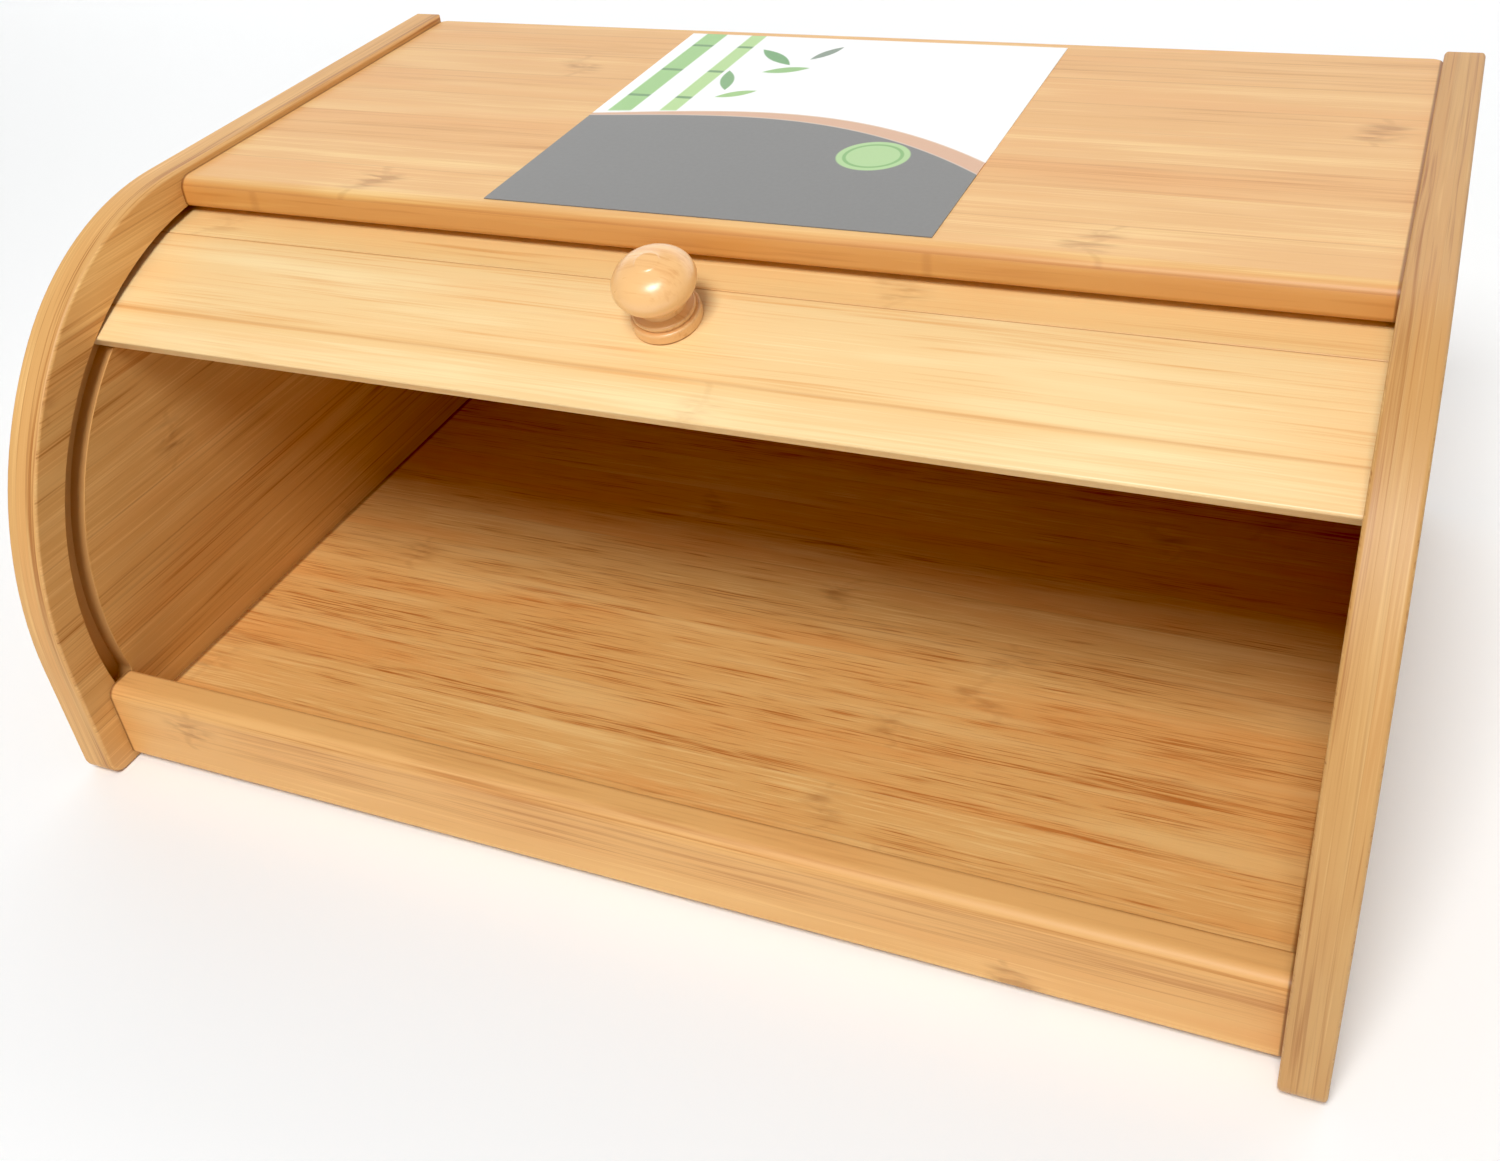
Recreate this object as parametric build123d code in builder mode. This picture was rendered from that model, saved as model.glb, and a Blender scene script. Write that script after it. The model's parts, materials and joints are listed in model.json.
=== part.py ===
from build123d import *
import os
from math import cos, degrees, radians, sin

os.makedirs("parts", exist_ok=True)

# A bamboo bread bin with a roll-top shutter. All sizes are in millimetres.
# X runs across the bin, the mouth faces -Y, Z is up. The origin is on the floor under the middle.
# The bin stands with its shutter rolled open, which is the rest pose.

# Overall size and boards
width = 400.0
depth = 270.0
height = 172.0
side_t = 12.0
board_t = 10.0
edge_r = 1.2
board_corner_r = 3.5
board_nose_r = 4.5
board_under_r = 2.0
back_foot_r = 1.5

# Side panel outline: straight back and top, then two tangent arcs down to an upright front
front_arc_r = 140.0
front_arc_z = 45.0
toe_r = 6.0

# Track that guides the shutter: a round-ended groove, centred on the shutter's roll axis
track_y = -13.0
track_z = 50.75
track_outer_r = 109.75
track_inner_r = 101.85
track_depth = 6.0
track_tail_deg = 0.4
track_lead_deg = 0.5

# Boards between the side panels
top_face_z = 169.5
top_front_y = -26.0
back_front_y = 124.0
rail_front_y = -125.0
rail_t = 12.0
rail_top_z = 31.0
rail_bottom_z = 2.5
rail_nose_r = 4.0
rail_inner_r = 2.5
base_bottom_z = 4.0

# Shutter: one wide front slat, then equal narrow slats, all on a backing cloth
lead_deg = 37.0
travel_deg = 63.2
front_slat_deg = 24.4
slat_deg = 8.7
slat_count = 9
slat_gap = 0.3
lap_face_deg = 13.4
slat_outer_d = 106.7
slat_end_clearance = 1.0
corner_r = 102.82
lead_inner_r = 104.3
lead_round = 0.8
slat_chamfer = 0.2
crown_offset = 120.0
cloth_t = 0.6
cloth_w = 360.0
cloth_lap_deg = 3.6
cloth_tail_deg = 0.8

# Knob and its screw
knob_h = 22.4
knob_head_r = 12.1
knob_head_t = 14.9
knob_under_deg = 54.0
knob_flange_r = 10.3
knob_flange_h = 3.5
knob_ring_r = 9.2
knob_ring_h = 5.4
knob_groove = 0.4
knob_round = 0.7
screw_r = 1.9
screw_hole_r = 2.1
screw_hole_l = 12.0
screw_head_r = 3.9
screw_head_h = 2.0
screw_into_knob = 11.0
screw_sunk = 0.1
screw_tip_r = 0.3
screw_tip_l = 2.5
recess_l = 4.2
recess_w = 0.9
recess_d = 1.4
hole_past_screw = 1.0

# Dowels that hold the boards to the side panels
dowel_r = 3.0
dowel_l = 24.0
dowel_in_side = 8.0
dowel_slack = 0.5
dowel_chamfer = 0.6

# Paper leaflet that lies on the top board
leaflet_w = 142.0
leaflet_d = 152.0
leaflet_x = -2.0
leaflet_back_y = 131.0
leaflet_t = 0.3

# Derived sizes
inner_x = width / 2 - side_t
front_y = -depth / 2
back_y = depth / 2
boards_w = 2 * inner_x
slat_l = boards_w + 2 * (track_depth - slat_end_clearance)
track_mid_r = (track_outer_r + track_inner_r) / 2
front_arc_y = front_y + front_arc_r
knee_y = front_arc_y - front_arc_r * cos(radians(45))
knee_z = front_arc_z + front_arc_r * sin(radians(45))
top_arc_r = (height - knee_z) / (1 - cos(radians(45)))
top_arc_y = knee_y + top_arc_r * cos(radians(45))
top_arc_z = height - top_arc_r
first_joint_deg = lead_deg - front_slat_deg
tail_deg = first_joint_deg - slat_count * slat_deg
track_sweep_deg = lead_deg + travel_deg - tail_deg + track_tail_deg + track_lead_deg
slat_inner_d = corner_r * cos(radians(slat_deg / 2))
knob_deg = first_joint_deg + lap_face_deg / 2
lap_end_deg = first_joint_deg + lap_face_deg
lap_face_d = corner_r * cos(radians(lap_face_deg / 2))


def on_track(r, deg):
    """(y, z) at radius r from the roll axis, deg degrees forward of straight up."""
    return (track_y - r * sin(radians(deg)), track_z + r * cos(radians(deg)))


# (y, z) of the dowels at each end of the boards
top_z = top_face_z - board_t / 2
base_z = base_bottom_z + board_t / 2
back_mid_y = back_front_y + board_t / 2
rail_mid_y = rail_front_y + rail_t / 2
top_dowels = [(18, top_z), (108, top_z)]
base_dowels = [(-84, base_z), (92, base_z)]
back_dowels = [(back_mid_y, 38), (back_mid_y, 128)]
rail_dowels = [(rail_mid_y, 10)]
all_dowels = top_dowels + base_dowels + back_dowels + rail_dowels
dowel_in_board = dowel_l - dowel_in_side


# Middle line of the track, from behind the last slat to under the closed front slat
track_arc = CenterArc((track_y, track_z), track_mid_r, 90 + tail_deg - track_tail_deg, track_sweep_deg)

# Side panels: the left one is cut from its outline, the right one is its mirror image
with BuildPart() as left_side_panel:
    with BuildSketch(Plane.YZ.offset(-width / 2)):
        with BuildLine():
            Line((front_y, 0), (back_y, 0))
            Line((back_y, 0), (back_y, height))
            Line((back_y, height), (top_arc_y, height))
            CenterArc((top_arc_y, top_arc_z), top_arc_r, 90, 45)
            CenterArc((front_arc_y, front_arc_z), front_arc_r, 135, 45)
            Line((front_y, front_arc_z), (front_y, 0))
        make_face()
    extrude(amount=side_t)
    long_edges = left_side_panel.edges().filter_by(Axis.X)
    fillet(long_edges.group_by(Axis.Y)[0].group_by(Axis.Z)[0], radius=toe_r)
    fillet(left_side_panel.faces().sort_by(Axis.X)[0].edges(), radius=edge_r)
    fillet(left_side_panel.faces().sort_by(Axis.X)[-1].edges(), radius=edge_r)
    with BuildSketch(Plane.YZ.offset(-inner_x)):
        SlotArc(arc=track_arc, height=track_outer_r - track_inner_r)
    extrude(amount=-track_depth, mode=Mode.SUBTRACT)
    with BuildSketch(Plane.YZ.offset(-inner_x)):
        with Locations(*all_dowels):
            Circle(dowel_r)
    extrude(amount=-(dowel_in_side + dowel_slack), mode=Mode.SUBTRACT)
left_side_panel.part.label = "left_side_panel"
export_step(left_side_panel.part, "parts/left_side_panel.step")

with BuildPart() as right_side_panel:
    mirror(left_side_panel.part, about=Plane.YZ)
right_side_panel.part.label = "right_side_panel"
export_step(right_side_panel.part, "parts/right_side_panel.step")


# Top board, with a bullnosed front edge and softly rounded back corners
with BuildPart() as top_board:
    with BuildSketch(Plane.XY.offset(top_face_z - board_t)):
        with Locations((0, (top_front_y + back_y) / 2)):
            Rectangle(boards_w, back_y - top_front_y)
    extrude(amount=board_t)
    fillet(top_board.edges().filter_by(Axis.Z).group_by(Axis.Y)[-1], radius=board_corner_r)
    fillet(top_board.edges().filter_by(Axis.X).group_by(Axis.Y)[0].sort_by(Axis.Z)[-1], radius=board_nose_r)
    fillet(top_board.edges().filter_by(Axis.X).group_by(Axis.Y)[0].sort_by(Axis.Z)[0], radius=board_under_r)
    for side in (-1, 1):
        with BuildSketch(Plane.YZ.offset(side * inner_x)):
            with Locations(*top_dowels):
                Circle(dowel_r)
        extrude(amount=-side * (dowel_in_board + dowel_slack), mode=Mode.SUBTRACT)
top_board.part.label = "top_board"
export_step(top_board.part, "parts/top_board.step")

# Base board, between the rail and the back panel
with BuildPart() as base_board:
    base_front_y = rail_front_y + rail_t
    with BuildSketch(Plane.XY.offset(base_bottom_z)):
        with Locations((0, (base_front_y + back_front_y) / 2)):
            Rectangle(boards_w, back_front_y - base_front_y)
    extrude(amount=board_t)
    for side in (-1, 1):
        with BuildSketch(Plane.YZ.offset(side * inner_x)):
            with Locations(*base_dowels):
                Circle(dowel_r)
        extrude(amount=-side * (dowel_in_board + dowel_slack), mode=Mode.SUBTRACT)
base_board.part.label = "base_board"
export_step(base_board.part, "parts/base_board.step")

# Back panel, under the top board
with BuildPart() as back_panel:
    with BuildSketch(Plane.XY.offset(rail_bottom_z)):
        with Locations((0, back_mid_y)):
            Rectangle(boards_w, board_t)
    extrude(amount=top_face_z - board_t - rail_bottom_z)
    fillet(back_panel.edges().filter_by(Axis.X).group_by(Axis.Z)[0].sort_by(Axis.Y)[-1], radius=back_foot_r)
    for side in (-1, 1):
        with BuildSketch(Plane.YZ.offset(side * inner_x)):
            with Locations(*back_dowels):
                Circle(dowel_r)
        extrude(amount=-side * (dowel_in_board + dowel_slack), mode=Mode.SUBTRACT)
back_panel.part.label = "back_panel"
export_step(back_panel.part, "parts/back_panel.step")

# Front rail, rounded along its top, where the shutter comes down
with BuildPart() as front_rail:
    with BuildSketch(Plane.XY.offset(rail_bottom_z)):
        with Locations((0, rail_mid_y)):
            Rectangle(boards_w, rail_t)
    extrude(amount=rail_top_z - rail_bottom_z)
    rail_edges = front_rail.edges().filter_by(Axis.X)
    fillet(rail_edges.group_by(Axis.Z)[-1].sort_by(Axis.Y)[0], radius=rail_nose_r)
    fillet(rail_edges.group_by(Axis.Z)[-1].sort_by(Axis.Y)[-1], radius=rail_inner_r)
    fillet(rail_edges.group_by(Axis.Z)[0].sort_by(Axis.Y)[0], radius=board_under_r)
    for side in (-1, 1):
        with BuildSketch(Plane.YZ.offset(side * inner_x)):
            with Locations(*rail_dowels):
                Circle(dowel_r)
        extrude(amount=-side * (dowel_in_board + dowel_slack), mode=Mode.SUBTRACT)
front_rail.part.label = "front_rail"
export_step(front_rail.part, "parts/front_rail.step")

# Dowels, all alike, glued half into the side panels and half into the ends of the boards
with BuildPart() as panel_dowels:
    for start_x in (-inner_x - dowel_in_side, inner_x - dowel_in_board):
        with BuildSketch(Plane.YZ.offset(start_x)):
            with Locations(*all_dowels):
                Circle(dowel_r)
        extrude(amount=dowel_l)
    chamfer(panel_dowels.edges().filter_by(GeomType.CIRCLE), length=dowel_chamfer)
panel_dowels.part.label = "panel_dowels"
export_step(panel_dowels.part, "parts/panel_dowels.step")

# Wide front slat: gently crowned outside, with a flat on the inside where the cloth laps onto it
crown_y, crown_z = on_track(-crown_offset, knob_deg)
crown_r = slat_outer_d + crown_offset


def on_crown(deg):
    """(y, z) where the ray deg degrees forward of straight up meets the crowned face."""
    a = radians(deg - knob_deg)
    r = -crown_offset * cos(a) + (crown_r**2 - (crown_offset * sin(a)) ** 2) ** 0.5
    return on_track(r, deg)


gap_deg = degrees(slat_gap / 2 / track_mid_r)
with BuildPart() as front_slat:
    with BuildSketch(Plane.YZ.offset(-slat_l / 2)):
        with BuildLine():
            rear_out = on_crown(first_joint_deg + gap_deg)
            lead_out = on_crown(lead_deg)
            rear_in = on_track(lap_face_d / cos(radians(lap_face_deg / 2 - gap_deg)),
                               first_joint_deg + gap_deg)
            ThreePointArc(rear_out, on_crown(knob_deg), lead_out)
            Polyline(lead_out, on_track(lead_inner_r, lead_deg), on_track(corner_r, lap_end_deg),
                     rear_in, rear_out)
        make_face()
    extrude(amount=slat_l)
    lead_edges = front_slat.edges().filter_by(Axis.X).group_by(Axis.Y)[0]
    fillet(lead_edges, radius=lead_round)
    chamfer(front_slat.edges().filter_by(Axis.X).sort_by(Axis.Z)[-1], length=slat_chamfer)
    seat = on_track(lap_face_d, knob_deg)
    screw_plane = Plane(origin=(0, *seat), x_dir=(1, 0, 0),
                        z_dir=(0, sin(radians(knob_deg)), -cos(radians(knob_deg))))
    with Locations(screw_plane):
        CounterSinkHole(radius=screw_hole_r, counter_sink_radius=screw_head_r + screw_sunk,
                        depth=screw_hole_l, counter_sink_angle=90)
front_slat.part.label = "front_slat"
export_step(front_slat.part, "parts/front_slat.step")

# Narrow slats, numbered from the front slat back, with bevelled sides that close on the arc
for i in range(slat_count):
    near_deg = first_joint_deg - i * slat_deg - gap_deg
    far_deg = first_joint_deg - (i + 1) * slat_deg + gap_deg
    half = radians((near_deg - far_deg) / 2)
    outer_r = slat_outer_d / cos(half)
    inner_r = slat_inner_d / cos(half)
    with BuildPart() as slat:
        with BuildSketch(Plane.YZ.offset(-slat_l / 2)):
            Polygon(
                on_track(inner_r, near_deg),
                on_track(inner_r, far_deg),
                on_track(outer_r, far_deg),
                on_track(outer_r, near_deg),
                align=None,
            )
        extrude(amount=slat_l)
        middle = on_track(slat_outer_d, (near_deg + far_deg) / 2)
        outer_face = slat.faces().sort_by_distance((0, *middle))[0]
        chamfer(outer_face.edges().filter_by(Axis.X), length=slat_chamfer)
    slat_name = f"slat_{i + 1:02d}"
    slat.part.label = slat_name
    export_step(slat.part, f"parts/{slat_name}.step")

# Backing cloth, glued across the inner faces of the slats
joints = [first_joint_deg - i * slat_deg for i in range(slat_count)]
tail = tail_deg + cloth_tail_deg
lap = first_joint_deg + cloth_lap_deg


def on_slats(deg, face_d, mid_deg):
    """(y, z) on a flat inner face that stands face_d from the roll axis, square to mid_deg."""
    return on_track(face_d / cos(radians(deg - mid_deg)), deg)


last_mid = tail_deg + slat_deg / 2
cloth_out = [on_slats(lap, lap_face_d, knob_deg)]
cloth_out += [on_track(corner_r, deg) for deg in joints]
cloth_out += [on_slats(tail, slat_inner_d, last_mid)]
cloth_in = [on_slats(lap, lap_face_d - cloth_t, knob_deg)]
cloth_in += [on_track(corner_r - cloth_t, deg) for deg in joints]
cloth_in += [on_slats(tail, slat_inner_d - cloth_t, last_mid)]
with BuildPart() as backing_cloth:
    with BuildSketch(Plane.YZ.offset(-cloth_w / 2)):
        Polygon(*cloth_out, *reversed(cloth_in), align=None)
    extrude(amount=cloth_w)
backing_cloth.part.label = "backing_cloth"
export_step(backing_cloth.part, "parts/backing_cloth.step")

# Turned knob, standing square on the front slat
knob_seat = (0, *on_track(slat_outer_d, knob_deg))
out_dir = (0, -sin(radians(knob_deg)), cos(radians(knob_deg)))
turn_dir = (0, -cos(radians(knob_deg)), -sin(radians(knob_deg)))
head_rz = knob_head_t / 2
head_z = knob_h - head_rz
neck_r = knob_head_r * cos(radians(knob_under_deg))
neck_top_z = head_z - head_rz * sin(radians(knob_under_deg))
groove_r = knob_ring_r - knob_groove
head_start_dir = (knob_head_r * sin(radians(knob_under_deg)), head_rz * cos(radians(knob_under_deg)))
head_degs = [-knob_under_deg + i * (90 + knob_under_deg) / 8 for i in range(8)]
head_curve = [(knob_head_r * cos(radians(a)), head_z + head_rz * sin(radians(a))) for a in head_degs]
head_curve += [(0, knob_h)]
with BuildPart() as knob:
    with BuildSketch(Plane(origin=knob_seat, x_dir=(1, 0, 0), z_dir=turn_dir)):
        with BuildLine():
            Polyline((0, 0), (knob_flange_r - knob_groove, 0), (knob_flange_r, knob_groove),
                     (knob_flange_r, knob_flange_h - knob_round))
            CenterArc((knob_flange_r - knob_round, knob_flange_h - knob_round), knob_round, 0, 90)
            Polyline((knob_flange_r - knob_round, knob_flange_h), (groove_r, knob_flange_h),
                     (groove_r, knob_flange_h + knob_groove), (knob_ring_r, knob_flange_h + 2 * knob_groove),
                     (knob_ring_r, knob_ring_h - knob_round))
            CenterArc((knob_ring_r - knob_round, knob_ring_h - knob_round), knob_round, 0, 90)
            Polyline((knob_ring_r - knob_round, knob_ring_h), (neck_r, knob_ring_h + knob_round),
                     (neck_r, neck_top_z))
            Spline(*head_curve, tangents=[head_start_dir, (-1, 0)])
            Line((0, knob_h), (0, 0))
        make_face()
    revolve(axis=Axis(knob_seat, out_dir))
    with Locations(Plane(origin=knob_seat, x_dir=(1, 0, 0), z_dir=tuple(-c for c in out_dir))):
        Hole(radius=screw_r, depth=screw_into_knob + hole_past_screw)
knob.part.label = "knob"
export_step(knob.part, "parts/knob.step")

# Countersunk wood screw, driven through the front slat into the knob
slat_t = slat_outer_d - lap_face_d
screw_l = slat_t + screw_into_knob
with BuildPart() as knob_screw:
    with BuildSketch(Plane(origin=(0, *seat), x_dir=(1, 0, 0), z_dir=turn_dir)):
        with BuildLine():
            Polyline(
                (0, screw_sunk),
                (screw_head_r, screw_sunk),
                (screw_r, screw_sunk + screw_head_h),
                (screw_r, screw_l - screw_tip_l),
                (screw_tip_r, screw_l),
                (0, screw_l),
                (0, screw_sunk),
            )
        make_face()
    revolve(axis=Axis((0, *seat), out_dir))
    with BuildSketch(Plane(origin=(0, *seat), x_dir=(1, 0, 0), z_dir=out_dir)):
        Rectangle(recess_l, recess_w)
        Rectangle(recess_w, recess_l)
    extrude(amount=recess_d, mode=Mode.SUBTRACT)
knob_screw.part.label = "knob_screw"
export_step(knob_screw.part, "parts/knob_screw.step")

# Printed paper leaflet on the top board
with BuildPart() as paper_leaflet:
    with BuildSketch(Plane.XY.offset(top_face_z)):
        with Locations((leaflet_x, leaflet_back_y - leaflet_d / 2)):
            Rectangle(leaflet_w, leaflet_d)
    extrude(amount=leaflet_t)
paper_leaflet.part.label = "paper_leaflet"
export_step(paper_leaflet.part, "parts/paper_leaflet.step")
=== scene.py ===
import json
import math

import bmesh
import bpy
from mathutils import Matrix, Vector


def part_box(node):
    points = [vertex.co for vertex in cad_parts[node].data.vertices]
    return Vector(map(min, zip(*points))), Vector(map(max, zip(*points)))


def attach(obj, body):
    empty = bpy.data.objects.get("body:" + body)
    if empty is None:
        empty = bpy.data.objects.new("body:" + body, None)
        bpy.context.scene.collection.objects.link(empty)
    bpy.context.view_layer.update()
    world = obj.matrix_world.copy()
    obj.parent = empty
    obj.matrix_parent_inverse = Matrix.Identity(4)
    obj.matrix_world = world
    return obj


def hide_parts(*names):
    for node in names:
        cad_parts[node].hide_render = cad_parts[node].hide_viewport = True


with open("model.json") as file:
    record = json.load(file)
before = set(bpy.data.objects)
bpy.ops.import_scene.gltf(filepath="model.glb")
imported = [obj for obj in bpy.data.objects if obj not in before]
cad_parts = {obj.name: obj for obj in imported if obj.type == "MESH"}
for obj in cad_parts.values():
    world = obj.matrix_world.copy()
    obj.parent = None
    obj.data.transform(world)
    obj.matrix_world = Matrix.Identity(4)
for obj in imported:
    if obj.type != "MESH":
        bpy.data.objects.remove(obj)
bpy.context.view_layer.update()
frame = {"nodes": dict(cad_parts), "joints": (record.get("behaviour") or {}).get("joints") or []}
nodes = frame["nodes"]
scene = bpy.context.scene

# The shutter's roll axis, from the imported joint, and the slats' outer radius round it
ROLL = Vector(frame["joints"][0]["pos_m"])
SLAT_OUTER_R = 0.1067

# The groove's two radii round that axis and its depth, and where the boards end on the right
GROOVE_R = (0.10185, 0.10975)
GROOVE_DEPTH = 0.006
# Radii over which the groove's painted shade deepens towards its outer wall
GROOVE_SHADE_R = (0.1074, 0.1088)
PAINT_MARGIN = 0.0004
BOARD_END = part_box("top_board")[1].x

# Side panels: the rough middle and radius of their outline, and the thickness of one ply
RIM_MID = (0.005, 0.045)
RIM_R = 0.14
PLY_T = 0.004
FACE_NORMAL = 0.62

SLAT_NAMES = [f"slat_{i:02d}" for i in range(1, 10)]


# ---------------------------------------------------------------- node helpers
class Tree:
    """A material with a few short ways to make nodes."""

    def __init__(self, name):
        self.mat = bpy.data.materials.new(name)
        self.mat.use_nodes = True
        self.nt = self.mat.node_tree
        self.nt.nodes.clear()
        self.out = self.nt.nodes.new("ShaderNodeOutputMaterial")
        self.bsdf = self.nt.nodes.new("ShaderNodeBsdfPrincipled")
        self.link(self.bsdf.outputs[0], self.out.inputs["Surface"])

    def node(self, kind, **settings):
        n = self.nt.nodes.new(kind)
        for key, value in settings.items():
            setattr(n, key, value)
        return n

    def link(self, a, b):
        self.nt.links.new(a, b)

    def put(self, socket, value):
        if isinstance(value, bpy.types.NodeSocket):
            self.link(value, socket)
        elif value is not None:
            socket.default_value = value

    def math(self, op, a, b=None, c=None, clamp=False):
        n = self.node("ShaderNodeMath", operation=op, use_clamp=clamp)
        for i, v in enumerate((a, b, c)):
            self.put(n.inputs[i], v)
        return n.outputs[0]

    def add(self, a, b, clamp=False):
        return self.math("ADD", a, b, clamp=clamp)

    def sub(self, a, b):
        return self.math("SUBTRACT", a, b)

    def mul(self, a, b, clamp=False):
        return self.math("MULTIPLY", a, b, clamp=clamp)

    def div(self, a, b):
        return self.math("DIVIDE", a, b)

    def size(self, a):
        """The value without its sign."""
        return self.math("ABSOLUTE", a)

    def square(self, a):
        return self.math("POWER", a, 2.0)

    def from_roll(self, y, z):
        """How far a point is from the roll axis."""
        dy, dz = self.sub(y, ROLL.y), self.sub(z, ROLL.z)
        return self.math("SQRT", self.add(self.square(dy), self.square(dz)))

    def between(self, value, low, high):
        return self.mul(self.math("GREATER_THAN", value, low), self.math("LESS_THAN", value, high))

    def vec(self, x, y, z):
        n = self.node("ShaderNodeCombineXYZ")
        for i, v in enumerate((x, y, z)):
            self.put(n.inputs[i], v)
        return n.outputs[0]

    def noise(self, vector, scale=1.0, detail=3.0, rough=0.5, distortion=0.0):
        n = self.node("ShaderNodeTexNoise")
        self.put(n.inputs["Vector"], vector)
        n.inputs["Scale"].default_value = scale
        n.inputs["Detail"].default_value = detail
        n.inputs["Roughness"].default_value = rough
        n.inputs["Distortion"].default_value = distortion
        return n.outputs["Fac"]

    def white(self, value, seed=0.0):
        """A number from 0 to 1 that looks random but is the same for the same value."""
        n = self.node("ShaderNodeTexWhiteNoise", noise_dimensions="2D")
        self.put(n.inputs["Vector"], self.vec(value, seed, 0.0))
        return n.outputs["Value"]

    def ramp(self, fac, *stops):
        n = self.node("ShaderNodeValToRGB")
        self.put(n.inputs[0], fac)
        el = n.color_ramp.elements
        while len(el) < len(stops):
            el.new(0.5)
        for e, (pos, col) in zip(el, stops):
            e.position = pos
            e.color = (*col, 1.0) if len(col) == 3 else col
        return n.outputs[0]

    def span(self, value, a, b, lo=0.0, hi=1.0):
        """Goes smoothly from lo to hi as the value goes from a to b."""
        n = self.node("ShaderNodeMapRange")
        n.interpolation_type = "SMOOTHSTEP"
        n.clamp = True
        for i, v in enumerate((value, a, b, lo, hi)):
            self.put(n.inputs[i], v)
        return n.outputs[0]

    def mix(self, fac, a, b, blend="MIX"):
        n = self.node("ShaderNodeMix", data_type="RGBA", blend_type=blend)
        self.put(n.inputs[0], fac)
        for socket, v in ((n.inputs[6], a), (n.inputs[7], b)):
            if isinstance(v, tuple) and len(v) == 3:
                v = (*v, 1.0)
            self.put(socket, v)
        return n.outputs[2]

    def bump(self, height, strength, distance):
        n = self.node("ShaderNodeBump")
        n.inputs["Strength"].default_value = strength
        n.inputs["Distance"].default_value = distance
        self.put(n.inputs["Height"], height)
        self.link(n.outputs[0], self.bsdf.inputs["Normal"])
        return n

    def axes(self):
        co = self.node("ShaderNodeTexCoord").outputs["Object"]
        n = self.node("ShaderNodeSeparateXYZ")
        self.link(co, n.inputs[0])
        return n.outputs[0], n.outputs[1], n.outputs[2]


def srgb(r, g, b):
    """A linear colour from 0-255 display values."""
    def one(c):
        c /= 255.0
        return c / 12.92 if c <= 0.04045 else ((c + 0.055) / 1.055) ** 2.4
    return (one(r), one(g), one(b))


def tinted(colour, r, g, b):
    return (colour[0] * r, colour[1] * g, colour[2] * b)


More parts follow.
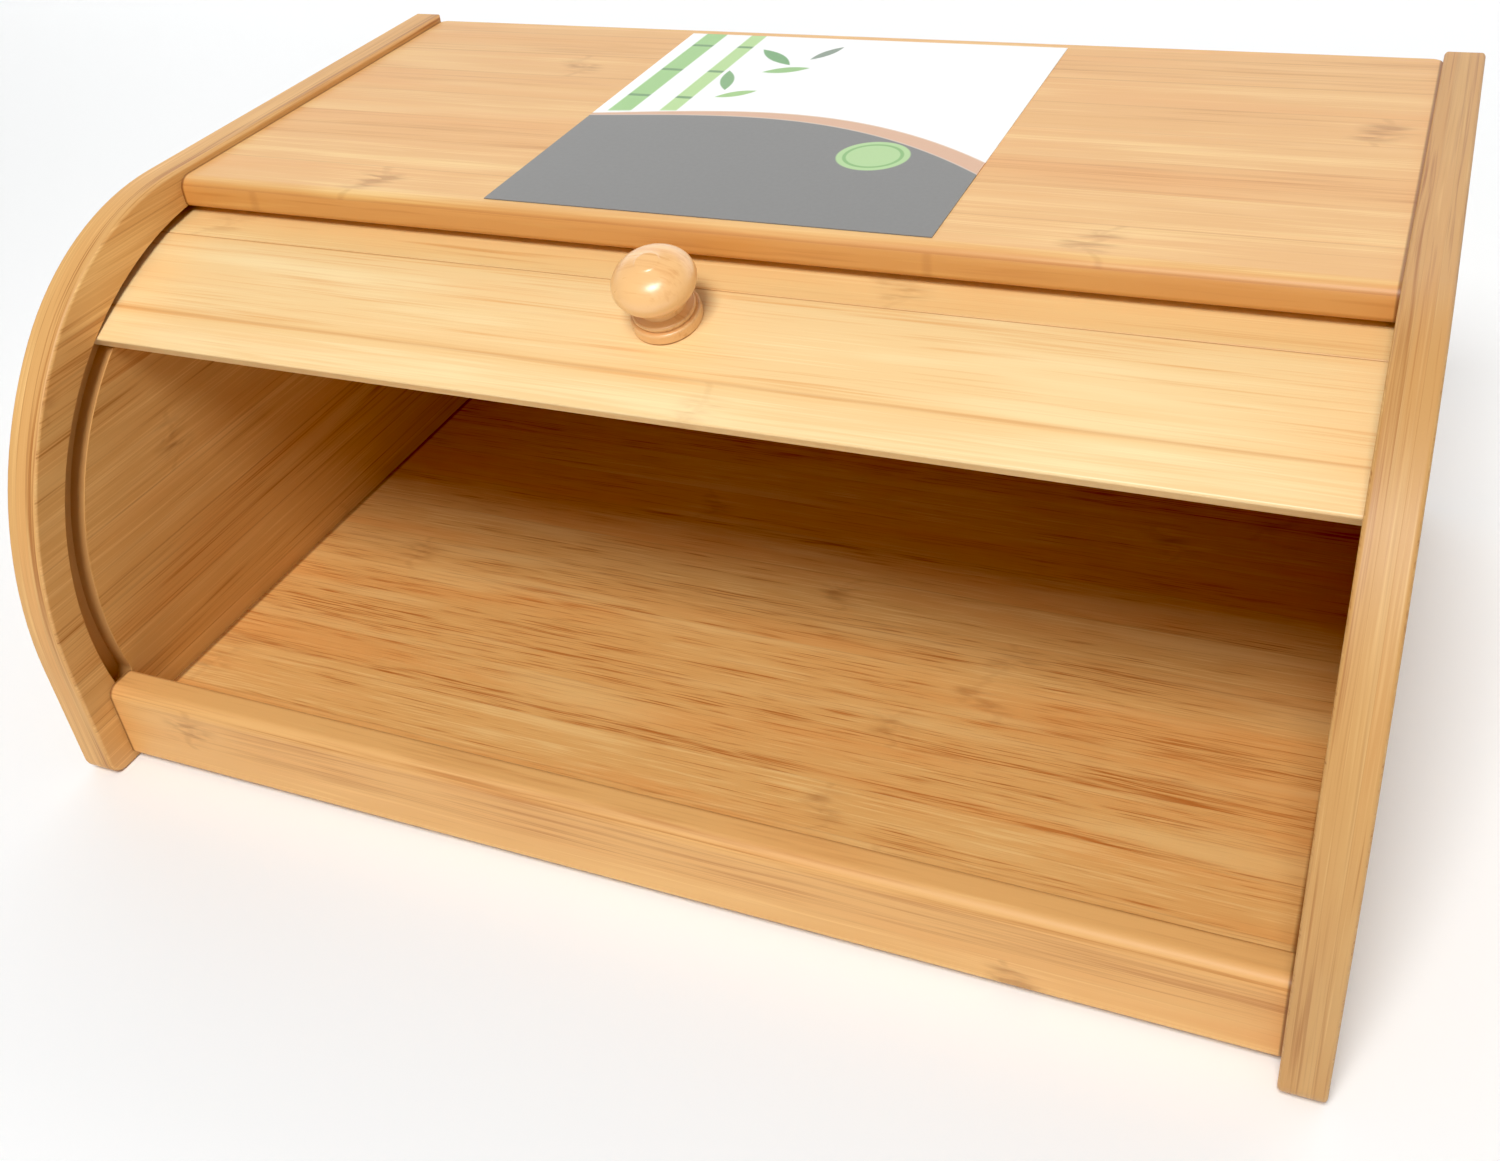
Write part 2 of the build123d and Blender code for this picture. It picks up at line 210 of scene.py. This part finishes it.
# ---------------------------------------------------------------- bamboo
def bamboo(name, along, across, light, mid, dark, strip=0.020, seed=0.0, knuckles=1.0, tone=0.5,
           rough=0.42, coat=0.20, fibre=1.0, joint=0.35, shift=0.0, edge_face=None,
           edge_tint_and_shade=(1, 0.88, 0.74), plies=False, bright_from=None, period=0.23, dash=1.0, hue=0.38,
           streak=0.30, blush=0.25, grain=1.0, ends=None, groove=False):
    """Laminated bamboo strips under a satin lacquer.

    along and across name how the grain runs: "X", "Y", "Z" or "ARC", the way round the roll axis.
    light, mid, dark: the fibre's colours. strip, shift: the strips' width and where they start.
    tone, hue: how much strips differ in depth and in warmth. fibre, grain, dash: the contrast of the
    flecks, of the finest ones, and how short they are. streak, blush: dark flecks, and pink and cream
    clouds. joint: the lines between strips. knuckles, period: how strong they are, and how far apart.
    plies: on faces that don't look along X the grain follows the board's outline, in three plies.
    bright_from: how far round the slat its paler leading strip starts.
    ends: the width of the dark band where a board meets the side panels, partly a glued seam and partly
    painted shade in the corner.
    edge_face, edge_tint_and_shade: the axis the board's edge looks along, and the tint that darkens and
    warms that edge, partly its own colour and partly painted shade.
    groove: paints the shutter's groove greyer and darker, with painted shade that deepens to its outer
    wall.
    """
    t = Tree(name)
    x, y, z = t.axes()

    def around(y0, z0, r):
        return t.mul(t.math("ARCTAN2", t.sub(y0, y), t.sub(z, z0)), r)

    # u runs along the fibre, v across the strips and w into the board
    if across == "ARC":
        u, v = x, around(ROLL.y, ROLL.z, SLAT_OUTER_R)
        w = t.from_roll(y, z)
    else:
        pick = {"X": x, "Y": y, "Z": z}
        u, v = pick[along], pick[across]
        w = [pick[k] for k in "XYZ" if k not in (along, across)][0]
    normal = t.node("ShaderNodeSeparateXYZ")
    t.link(t.node("ShaderNodeTexCoord").outputs["Normal"], normal.inputs[0])
    width, show = strip, knuckles
    if plies:
        face = t.math("GREATER_THAN", t.size(normal.outputs[0]), FACE_NORMAL)
        rim = around(*RIM_MID, RIM_R)

        def either(on_rim, on_face):
            return t.add(t.mul(t.sub(1.0, face), on_rim), t.mul(face, on_face))
        u, v, w = either(rim, u), either(x, v), either(0.0, w)
        width, show = either(PLY_T, strip), t.mul(face, knuckles)

    # Strips: which one a point is in, how far across it, and random numbers for it
    strips = t.div(t.add(v, shift), width)
    index = t.math("FLOOR", strips)
    part = t.sub(strips, index)
    from_mid = t.size(t.sub(part, 0.5))
    tone_draw = t.white(index, seed + 0.7)
    shift_draw = t.white(index, seed + 3.1)
    hue_draw = t.white(index, seed + 7.9)
    joint_draw = t.white(index, seed + 9.3)

    # Fibres: long thin flecks at three widths, which lean a little from strip to strip
    u_strip = t.add(u, t.mul(shift_draw, 1.7))
    lean = t.noise(t.vec(t.mul(u_strip, 9.0), t.mul(v, 30.0), index), 1.0, 1.0)
    v_strip = t.add(v, t.mul(t.sub(lean, 0.5), 0.0016))

    def flecks(per_m_along, per_m_across, detail, roughness):
        return t.noise(t.vec(t.mul(u_strip, per_m_along), t.mul(v_strip, per_m_across),
                             t.mul(w, per_m_across * 0.5)), 1.0, detail, roughness)

    def clouds(per_m_along, per_m_across, offset, detail):
        return t.noise(t.vec(t.mul(u_strip, per_m_along), t.mul(v, per_m_across), seed + offset),
                       1.0, detail, 0.5)
    fine = flecks(26.0 * dash, 1700.0, 1.0, 0.6)
    middle = flecks(8.0 * dash, 560.0, 2.0, 0.65)
    wide = flecks(2.6, 150.0, 2.0, 0.55)
    cloud = clouds(13.0, 70.0, 0.0, 1.0)
    pink = clouds(7.0, 55.0, 2.0, 2.0)
    cream = clouds(9.0, 80.0, 6.0, 2.0)

    # Knuckles: now and then a strip has a smudge of short curled fibre and a faint ring across it
    without_share = 0.42
    smudge_reach = 0.0105
    halo_reach = 0.030
    wander = 0.030
    turns = t.div(t.add(u, t.mul(shift_draw, period * 3.0)), period)
    cell = t.math("FLOOR", turns)
    off = t.mul(t.sub(t.sub(turns, cell), 0.5), period)
    cell_draw = t.white(t.add(cell, t.mul(index, 13.0)), seed + 5.5)
    have = t.math("GREATER_THAN", cell_draw, without_share)
    curl = t.noise(t.vec(t.mul(u, 75.0), t.mul(v, 330.0), index), 1.0, 2.0, 0.5, 0.5)
    drift = t.add(off, t.mul(t.sub(cloud, 0.5), wander))
    near = t.size(drift)
    inset = t.span(from_mid, 0.12, 0.46, 1.0, 0.0)
    patch = t.mul(t.span(near, 0.0, smudge_reach, 1.0, 0.0), inset)
    smudge = t.mul(patch, t.mul(t.span(curl, 0.34, 0.74), have))
    halo = t.mul(t.span(near, 0.0, halo_reach, 1.0, 0.0), have)
    waver = t.mul(t.sub(curl, 0.5), 0.004)
    ring = t.mul(t.span(t.size(t.add(drift, waver)), 0.0003, 0.0022, 1.0, 0.0), t.mul(have, 0.22))
    knot = t.mul(t.math("MAXIMUM", smudge, ring), show, clamp=True)

    # Thin lines where strips meet, some fainter than others
    line = t.mul(t.span(from_mid, 0.472, 0.5), t.span(joint_draw, 0.2, 0.8, 0.25, 1.0))
    flank = t.span(from_mid, 0.36, 0.5)

    # How light each point is, from 0 to 1, and from that its colour
    level = t.add(t.mul(t.sub(fine, 0.5), 0.60 * fibre * grain), t.mul(t.sub(middle, 0.5), 0.95 * fibre))
    level = t.add(level, t.mul(t.sub(wide, 0.5), 0.70))
    level = t.add(level, t.mul(t.sub(tone_draw, 0.5), tone))
    level = t.add(level, t.mul(t.sub(cloud, 0.5), 0.45))
    level = t.add(level, t.mul(halo, 0.12))
    if bright_from is not None:
        level = t.add(level, t.span(v, bright_from, bright_from + 0.003, 0.0, 0.26))
        level = t.sub(level, t.mul(flank, 0.22))
    level = t.add(level, 0.5, clamp=True)
    col = t.ramp(level, (0.06, dark), (0.42, mid), (0.62, mid), (0.95, light))
    col = t.mix(t.mul(t.span(hue_draw, 0.5, 1.0), hue), col, tinted(mid, 1.0, 0.84, 0.70))
    if bright_from is not None:
        col = t.mix(t.mul(flank, 0.35), col, tinted(mid, 0.98, 0.82, 0.64))
    col = t.mix(t.mul(t.span(pink, 0.46, 0.72), blush), col, tinted(mid, 1.02, 0.80, 0.66))
    col = t.mix(t.mul(t.span(cream, 0.50, 0.74), blush * 1.4), col, light)
    col = t.mix(t.mul(t.span(middle, 0.56, 0.78), streak), col, dark)
    col = t.mix(t.mul(line, joint), col, tinted(dark, 0.72, 0.58, 0.45))
    col = t.mix(t.mul(knot, 0.50), col, tinted(dark, 0.58, 0.44, 0.30))
    # A dark band where the board meets the side panels: partly a glued seam, partly painted shade in the
    # corner
    if ends is not None:
        glue_and_shade = t.span(t.size(x), BOARD_END - ends, BOARD_END - ends * 0.4)
        col = t.mix(t.mul(glue_and_shade, 0.75), col, tinted(dark, 0.30, 0.22, 0.16))
    # The shutter's groove is painted greyer and darker, and much darker near its outer wall: painted shade
    # in the narrow gap above the slats
    if groove:
        radius = t.from_roll(y, z)
        depth = t.sub(t.size(x), BOARD_END)
        in_depth = t.between(depth, PAINT_MARGIN, GROOVE_DEPTH + PAINT_MARGIN)
        in_ring = t.between(radius, GROOVE_R[0] - PAINT_MARGIN, GROOVE_R[1] + PAINT_MARGIN)
        wall = t.span(radius, *GROOVE_SHADE_R)
        shade = t.mix(wall, tinted(mid, 0.84, 0.78, 0.80), tinted(mid, 0.42, 0.32, 0.30))
        col = t.mix(t.mul(in_depth, in_ring), col, shade)
    # The edge face is tinted darker and more orange: partly the edge's own colour, partly painted shade
    if edge_face:
        side = t.size(normal.outputs["XYZ".index(edge_face)])
        col = t.mix(t.span(side, 0.35, 0.8), col, t.mix(1.0, col, edge_tint_and_shade, "MULTIPLY"))
    t.put(t.bsdf.inputs["Base Color"], col)

    t.put(t.bsdf.inputs["Roughness"], t.add(t.mul(middle, 0.16), rough - 0.08))
    t.bsdf.inputs["Coat Weight"].default_value = coat
    t.bsdf.inputs["Coat Roughness"].default_value = 0.30
    t.bsdf.inputs["Coat IOR"].default_value = 1.5
    relief = t.add(t.mul(fine, 0.5), t.mul(middle, 0.6))
    relief = t.sub(relief, t.mul(line, 0.5))
    relief = t.sub(relief, t.mul(knot, 0.4))
    t.bump(relief, 0.25, 0.00022)
    return t.mat


def put(node, mat):
    """Gives a CAD node its material."""
    o = nodes[node]
    o.data.materials.clear()
    o.data.materials.append(mat)


# Display colours of each wood's light, middle and dark fibre
WOODS = {
    "top": ((244, 205, 141), (230, 179, 116), (204, 142, 78)),
    "front_slat": ((253, 232, 180), (243, 212, 156), (224, 164, 98)),
    "slat": ((250, 220, 160), (240, 200, 138), (220, 162, 96)),
    "side": ((240, 194, 126), (221, 169, 102), (178, 116, 54)),
    "inner": ((244, 200, 132), (232, 178, 108), (190, 116, 54)),
    "rail": ((246, 200, 131), (231, 177, 109), (200, 138, 74)),
    "knob": ((252, 214, 156), (244, 193, 130), (214, 146, 78)),
    "dowel": ((222, 190, 144), (204, 168, 120), (176, 136, 88)),
}


# shade scales all three colours; below 1 it is painted shade
def wood(name, shade=1.0):
    return [tinted(srgb(*rgb), shade, shade, shade) for rgb in WOODS[name]]


# Its front edge face is darkened: partly its own warmer colour, partly painted shade
put("top_board", bamboo(
    "bamboo_top_satin", "X", "Y", *wood("top"), strip=0.0215, seed=1.0, shift=0.004, knuckles=1.6,
    tone=0.34, hue=0.14, coat=0.08, rough=0.50, ends=0.0012, edge_face="Y", edge_tint_and_shade=(0.84, 0.69, 0.47)))

# The front slat is two strips: their joint is 13 mm behind its leading edge
put("front_slat", bamboo(
    "bamboo_front_slat_satin", "X", "ARC", *wood("front_slat"), strip=0.0325, seed=4.0, tone=0.15,
    shift=0.0091, joint=0.35, blush=0.32, grain=1.5, bright_from=0.0559))

slat_mat = bamboo("bamboo_slat_satin", "X", "ARC", *wood("slat"), strip=0.0162, seed=5.0, tone=0.4,
                  shift=-0.02346)
for name in SLAT_NAMES:
    put(name, slat_mat)

# The right panel is the same wood scaled to 0.84: painted shade
for name, shade, tone in (("left_side_panel", 1.0, 0.35), ("right_side_panel", 0.84, 0.12)):
    put(name, bamboo(
        name.replace("panel", "bamboo"), "Y", "Z", *wood("side", shade), strip=0.0205, seed=8.0, tone=tone,
        fibre=1.4, plies=True, hue=0.15, coat=0.06, rough=0.52, streak=0.45, groove=True))

put("base_board", bamboo(
    "bamboo_base_satin", "X", "Y", *wood("inner"), strip=0.0195, seed=12.0, tone=0.3, fibre=1.1, joint=0.2,
    dash=1.8, hue=0.3, streak=0.10, blush=0.5, grain=2.2, ends=0.0024))

put("back_panel", bamboo(
    "bamboo_back_satin", "X", "Z", *wood("inner"), strip=0.0195, seed=15.0, tone=0.4, fibre=1.2, joint=0.25,
    dash=1.5, hue=0.3, streak=0.2, blush=0.5, ends=0.0016))

put("front_rail", bamboo(
    "bamboo_rail_satin", "X", "Z", *wood("rail"), strip=0.0160, seed=20.0, tone=0.25, shift=0.003,
    knuckles=1.7, joint=0.2, hue=0.0, coat=0.05, rough=0.55, ends=0.0012))

put("knob", bamboo(
    "bamboo_knob_satin", "X", "Y", *wood("knob"), strip=0.05, seed=25.0, tone=0.0, rough=0.30, coat=0.6,
    knuckles=0.0, joint=0.0, fibre=0.5, shift=0.09, dash=2.0, streak=0.08))

put("panel_dowels", bamboo(
    "dowel_beech", "X", "Y", *wood("dowel"), strip=0.05, seed=30.0, tone=0.1, rough=0.6, coat=0.0,
    knuckles=0.0))


# ---------------------------------------------------------------- screw
def zinc():
    """Zinc-plated steel with a fine speckle."""
    t = Tree("zinc_plated_steel")
    x, y, z = t.axes()
    speckle = 900.0
    n = t.noise(t.vec(*(t.mul(axis, speckle) for axis in (x, y, z))), 1.0, 3.0)
    t.put(t.bsdf.inputs["Base Color"], t.ramp(n, (0.3, srgb(150, 150, 146)), (0.7, srgb(196, 196, 192))))
    t.bsdf.inputs["Metallic"].default_value = 1.0
    t.put(t.bsdf.inputs["Roughness"], t.span(n, 0.2, 0.8, 0.28, 0.45))
    t.bump(n, 0.1, 0.0001)
    return t.mat


put("knob_screw", zinc())


# ---------------------------------------------------------------- leaflet
def leaflet():
    """Coated paper with a plain print of our own: soft leaves, a grey field, a tan band, a green oval."""
    t = Tree("leaflet_print")
    lo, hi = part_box("paper_leaflet")
    x, y, z = t.axes()
    u = t.div(t.sub(x, lo.x), hi.x - lo.x)
    v = t.div(t.sub(y, lo.y), hi.y - lo.y)
    white = srgb(250, 251, 250)
    grey = srgb(110, 110, 108)
    tan = srgb(214, 168, 134)
    grain = t.noise(t.vec(t.mul(x, 700.0), t.mul(y, 700.0), 0.0), 1.0, 2.0)
    # The grey field's upper edge is a low wave that falls away on the right, with the tan band above it
    swell = t.math("SINE", t.mul(t.sub(u, 0.12), 3.3))
    wave = t.sub(t.add(0.47, t.mul(swell, 0.045)), t.mul(t.math("POWER", u, 3.0), 0.20))
    above = t.sub(v, wave)
    band_width = t.add(0.012, t.mul(u, 0.045))
    blur = 0.004
    over_field = t.span(above, -blur, blur)
    col = t.mix(over_field, grey, white)
    under_top = t.span(t.sub(above, band_width), -blur, blur, 1.0, 0.0)
    col = t.mix(t.mul(over_field, under_top), col, tan)
    # Stalks in the upper left: place, half width and colour, with darker rings up them
    for place, half, colour in ((0.05, 0.030, srgb(150, 200, 120)), (0.17, 0.022, srgb(176, 214, 136))):
        aside = t.size(t.sub(t.sub(u, place), t.mul(v, 0.02)))
        stalk = t.mul(t.span(aside, half - 0.004, half + 0.002, 1.0, 0.0), t.span(above, 0.02, 0.03))
        from_ring = t.size(t.sub(t.math("FRACT", t.mul(v, 6.0)), 0.5))
        col = t.mix(stalk, col, t.mix(t.span(from_ring, 0.03, 0.05), srgb(96, 150, 84), colour))
    # Leaves, pointed ovals: middle, half length, half width, turn in degrees and colour
    for mid_u, mid_v, length, half, turn, colour in (
            (0.30, 0.86, 0.075, 0.020, -40, srgb(96, 160, 92)),
            (0.36, 0.78, 0.060, 0.018, 20, srgb(140, 190, 110)),
            (0.24, 0.70, 0.066, 0.018, -70, srgb(110, 166, 100)),
            (0.42, 0.90, 0.055, 0.015, 60, srgb(120, 140, 120)),
            (0.30, 0.62, 0.052, 0.016, 30, srgb(150, 196, 112))):
        ca, sa = math.cos(math.radians(turn)), math.sin(math.radians(turn))
        du, dv = t.sub(u, mid_u), t.sub(v, mid_v)
        lengthwise = t.add(t.mul(du, ca), t.mul(dv, sa))
        sideways = t.sub(t.mul(dv, ca), t.mul(du, sa))
        width = t.mul(t.sub(1.0, t.square(t.div(lengthwise, length))), half)
        col = t.mix(t.span(t.sub(width, t.size(sideways)), -0.001, 0.003), col, colour)
    # Oval badge with one ring in it
    du = t.div(t.sub(u, 0.755), 0.081)
    dv = t.div(t.sub(v, 0.334), 0.073)
    out = t.math("SQRT", t.add(t.square(du), t.square(dv)))
    col = t.mix(t.span(out, 0.96, 1.02, 1.0, 0.0), col, srgb(168, 206, 138))
    badge_ring = t.mul(t.span(out, 0.80, 0.84, 1.0, 0.0), t.span(out, 0.70, 0.74))
    col = t.mix(badge_ring, col, srgb(120, 176, 96))
    col = t.mix(t.mul(grain, 0.04), col, srgb(230, 228, 224))
    t.put(t.bsdf.inputs["Base Color"], col)
    t.bsdf.inputs["Roughness"].default_value = 0.42
    t.bsdf.inputs["Coat Weight"].default_value = 0.25
    t.bsdf.inputs["Coat Roughness"].default_value = 0.3
    t.bump(grain, 0.08, 0.00005)
    return t.mat


put("paper_leaflet", leaflet())


# ---------------------------------------------------------------- backing cloth
def canvas():
    """Plain-woven cotton canvas, its weave laid along X and round the roll axis."""
    t = Tree("cotton_canvas_weave")
    x, y, z = t.axes()
    weave_r = 0.103
    yarn_pitch = 0.0011
    arc = t.mul(t.math("ARCTAN2", t.sub(ROLL.y, y), t.sub(z, ROLL.z)), weave_r)
    warp = t.math("SINE", t.mul(x, 2 * math.pi / yarn_pitch))
    weft = t.math("SINE", t.mul(arc, 2 * math.pi / yarn_pitch))
    slub = t.noise(t.vec(t.mul(x, 260.0), t.mul(arc, 260.0), 0.0), 1.0, 4.0, 0.6)
    f = t.add(t.mul(t.mul(warp, weft), 0.18), slub, clamp=True)
    t.put(t.bsdf.inputs["Base Color"], t.ramp(f, (0.2, srgb(132, 112, 90)), (0.55, srgb(168, 146, 121)),
                                              (0.9, srgb(190, 170, 144))))
    t.bsdf.inputs["Roughness"].default_value = 0.9
    t.bsdf.inputs["Sheen Weight"].default_value = 0.2
    t.bump(f, 0.4, 0.0003)
    return t.mat


# The cloth: thickness, length, where the first joint is, the slats' pitch, the lap on the front slat
# and the slats' and front slat's flat inner faces, by how far they are from the roll axis
CLOTH_T = 0.0006
CLOTH_L = 0.360
FIRST_JOINT_DEG = 12.6
SLAT_DEG = 8.7
LAP_DEG = 3.6
TAIL_DEG = 0.8
LAP_FACE_D = 0.102118
KNOB_DEG = 19.3
SLAT_FACE_D = 0.102523
OUTER_GAP = 0.00004
INNER_GAP = 0.00002


def on_face(deg, face_d, face_deg, lift):
    """The point at deg round the roll axis on a flat face, or lifted off it towards the axis."""
    r = (face_d - lift) / math.cos(math.radians(deg - face_deg))
    a = math.radians(deg)
    return (ROLL.y - r * math.sin(a), ROLL.z + r * math.cos(a))


def cloth_stations():
    """Where the cloth's cross rows lie: degrees round the axis, and the flat face they lie on."""
    lap_rows = 4
    slat_rows = 8
    lap = FIRST_JOINT_DEG + LAP_DEG
    stations = [(lap - LAP_DEG * k / lap_rows, LAP_FACE_D, KNOB_DEG) for k in range(lap_rows)]
    for i in range(len(SLAT_NAMES)):
        start = FIRST_JOINT_DEG - i * SLAT_DEG
        end = FIRST_JOINT_DEG - (i + 1) * SLAT_DEG
        middle = (start + end) / 2
        stations += [(start - SLAT_DEG * k / slat_rows, SLAT_FACE_D, middle) for k in range(slat_rows)]
    # On the last slat the cloth stops short of its edge
    stations[-1] = (end + TAIL_DEG + 0.5, SLAT_FACE_D, middle)
    stations.append((end + TAIL_DEG, SLAT_FACE_D, middle))
    return stations


def backing():
    """The cloth as one sheet with two faces: taut on each slat's flat inner face."""
    stations = cloth_stations()
    cols = 72
    half = CLOTH_L / 2
    me = bpy.data.meshes.new("backing_cloth_sheet")
    bm = bmesh.new()
    layers = []
    for lift in (OUTER_GAP, CLOTH_T - INNER_GAP):
        rows = []
        for deg, face_d, face_deg in stations:
            y, z = on_face(deg, face_d, face_deg, lift)
            rows.append([bm.verts.new((-half + 2 * half * c / cols, y, z)) for c in range(cols + 1)])
        layers.append(rows)
    outer, inner = layers
    last = len(stations) - 1
    for r in range(last):
        for c in range(cols):
            bm.faces.new((outer[r][c], outer[r][c + 1], outer[r + 1][c + 1], outer[r + 1][c]))
            bm.faces.new((inner[r][c], inner[r + 1][c], inner[r + 1][c + 1], inner[r][c + 1]))
    for c in range(cols):
        bm.faces.new((outer[0][c], inner[0][c], inner[0][c + 1], outer[0][c + 1]))
        bm.faces.new((outer[last][c], outer[last][c + 1], inner[last][c + 1], inner[last][c]))
    for r in range(last):
        bm.faces.new((outer[r][0], outer[r + 1][0], inner[r + 1][0], inner[r][0]))
        bm.faces.new((outer[r][cols], inner[r][cols], inner[r + 1][cols], outer[r + 1][cols]))
    bmesh.ops.recalc_face_normals(bm, faces=bm.faces[:])
    bm.to_mesh(me)
    bm.free()
    me.materials.append(canvas())
    o = bpy.data.objects.new("backing_cloth_sheet", me)
    scene.collection.objects.link(o)
    return o


cloth = backing()
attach(cloth, "shutter")
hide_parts("backing_cloth")


# ---------------------------------------------------------------- floor, light, camera
def floor():
    """A pale floor that turns up into a back wall in one smooth curve."""
    half_width = 4.0
    front_y, cove_y = -3.0, 1.6
    cove_r = 0.8
    wall_top = 3.0
    cove_steps = 24
    profile = [(front_y, 0.0), (cove_y, 0.0)]
    for k in range(1, cove_steps + 1):
        a = math.radians(90 * k / cove_steps)
        profile.append((cove_y + cove_r * math.sin(a), cove_r - cove_r * math.cos(a)))
    profile.append((cove_y + cove_r, wall_top))
    me = bpy.data.meshes.new("studio_floor")
    bm = bmesh.new()
    rows = [[bm.verts.new((x, y, z)) for x in (-half_width, half_width)] for y, z in profile]
    for a, b in zip(rows, rows[1:]):
        bm.faces.new((a[0], a[1], b[1], b[0]))
    bm.to_mesh(me)
    bm.free()
    for p in me.polygons:
        p.use_smooth = True
    t = Tree("pale_floor")
    t.bsdf.inputs["Base Color"].default_value = (0.985, 0.995, 1.0, 1)
    t.bsdf.inputs["Roughness"].default_value = 0.35
    me.materials.append(t.mat)
    o = bpy.data.objects.new("studio_floor", me)
    scene.collection.objects.link(o)


floor()


def area(name, place, target, size, power):
    """A rectangular area light that looks at target."""
    data = bpy.data.lights.new(name, "AREA")
    data.shape = "RECTANGLE"
    data.size, data.size_y = size
    data.energy = power
    o = bpy.data.objects.new(name, data)
    scene.collection.objects.link(o)
    o.location = place
    aim = Vector(target) - Vector(place)
    o.rotation_euler = aim.to_track_quat("-Z", "Y").to_euler()


area("key_light", (0.10, -0.93, 1.41), (0, -0.03, 0.08), (0.48, 0.50), 19.3)
area("front_fill", (0.9, -1.5, 0.9), (0, -0.05, 0.08), (1.2, 0.8), 0.8)
area("backdrop_wash", (0.0, 1.55, 1.0), (0.0, 1.55, 0.0), (5.0, 1.4), 24.0)
area("left_wash", (-1.35, 0.70, 0.50), (-1.35, 0.70, 0.0), (1.2, 1.2), 1.6)

world = bpy.data.worlds.new("studio_world")
scene.world = world
world.use_nodes = True
bg = world.node_tree.nodes["Background"]
bg.inputs[0].default_value = (1.0, 0.995, 0.985, 1)
bg.inputs[1].default_value = 0.27

# The display: plain, with a black and a white point
view = scene.view_settings
view.view_transform = "Standard"
view.look = "None"
view.exposure = 0.0
view.gamma = 1.0
view.use_curve_mapping = True
view.curve_mapping.black_level = (0.008, 0.011, 0.009)
view.curve_mapping.white_level = (0.97, 0.97, 0.97)
view.curve_mapping.update()

cam_data = bpy.data.cameras.new("camera")
cam_data.sensor_fit = "HORIZONTAL"
cam_data.sensor_width = 36.0
cam_data.lens = 37.51021
cam_data.shift_x = -0.009509
cam_data.shift_y = -0.057721
cam_data.clip_start, cam_data.clip_end = 0.01, 20.0
cam = bpy.data.objects.new("camera", cam_data)
scene.collection.objects.link(cam)
cam.location = (0.193479, -0.389531, 0.352348)
cam.rotation_euler = (0.975521, 0.095445, 0.397651)
scene.camera = cam
